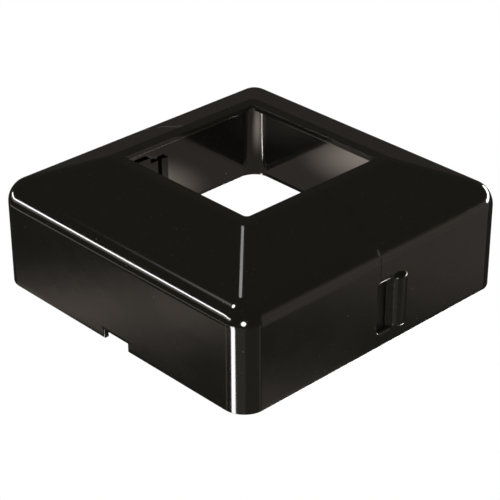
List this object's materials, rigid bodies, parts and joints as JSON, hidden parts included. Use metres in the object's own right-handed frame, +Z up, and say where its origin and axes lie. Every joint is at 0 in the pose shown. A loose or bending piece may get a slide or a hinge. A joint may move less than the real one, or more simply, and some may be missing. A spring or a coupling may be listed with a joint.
{
  "type": "post base cover",
  "caption": "Snap-together square cover for the foot of a square fence post, with a hollow skirt, low hip roof and square post opening",
  "frame": {"origin": "middle of the footprint, on the ground", "axes": "+X to the right side wall, towards one snap channel; +Y towards the back half; +Z up along the post"},
  "size_m": [0.1372, 0.133, 0.0521],
  "materials": {
    "cover_plastic": "glossy black, as moulded"
  },
  "bodies": {
    "back_half": {"back_half": "cover_plastic"},
    "front_half": {"front_half": "cover_plastic"},
    "right_snap_tongue": {"right_snap_tongue": "cover_plastic"},
    "left_snap_tongue": {"left_snap_tongue": "cover_plastic"}
  },
  "joints": [
    {"name": "halves_slide", "type": "slide", "parent": "back_half", "child": "front_half", "axis": [0, -1, 0], "range_m": [0, 0.06]},
    {"name": "right_tongue_flex", "type": "hinge", "parent": "front_half", "child": "right_snap_tongue", "pos_m": [0.0636, -0.0013, 0.01622], "axis": [0, 0, 1], "range_deg": [0, 16], "stiffness_Nm_per_rad": 0.05},
    {"name": "left_tongue_flex", "type": "hinge", "parent": "front_half", "child": "left_snap_tongue", "pos_m": [-0.0636, -0.0013, 0.01622], "axis": [0, 0, -1], "range_deg": [0, 16], "stiffness_Nm_per_rad": 0.05}
  ]
}
